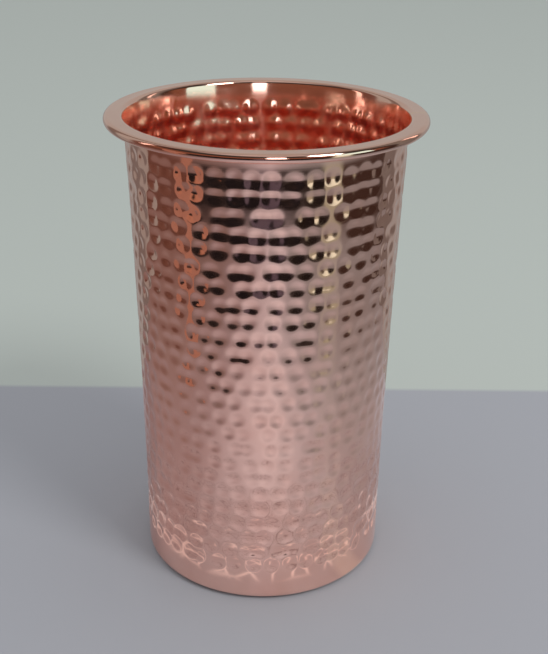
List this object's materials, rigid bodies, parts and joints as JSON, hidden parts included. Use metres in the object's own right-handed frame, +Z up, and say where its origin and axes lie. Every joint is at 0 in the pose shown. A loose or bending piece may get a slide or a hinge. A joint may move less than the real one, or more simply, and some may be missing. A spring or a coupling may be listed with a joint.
{
  "type": "hammered copper vessel",
  "caption": "Tall open vessel of hammered copper sheet, slightly waisted, with a flat turned-out rim rolled over a wire and a plain round base.",
  "frame": {"origin": "on the vessel's axis, at the surface it stands on", "axes": "+Z up along the vessel's axis, -Y towards the front; the brazed side seam is at +X"},
  "size_m": [0.13, 0.13, 0.2],
  "materials": {
    "hammered_copper": "hand hammered, polished bright and clear lacquered copper",
    "seam_braze": "brazing metal dressed flush and polished with the wall",
    "base_copper": "copper sheet, lightly planished, satin",
    "foot_braze": "brazing metal as it ran, wire brushed",
    "wire_brass": "drawn wire"
  },
  "bodies": {
    "root": {"hammered_wall": "hammered_copper", "side_seam": "seam_braze", "base_disc": "base_copper", "base_braze": "foot_braze", "rim_wire": "wire_brass"}
  },
  "joints": []
}
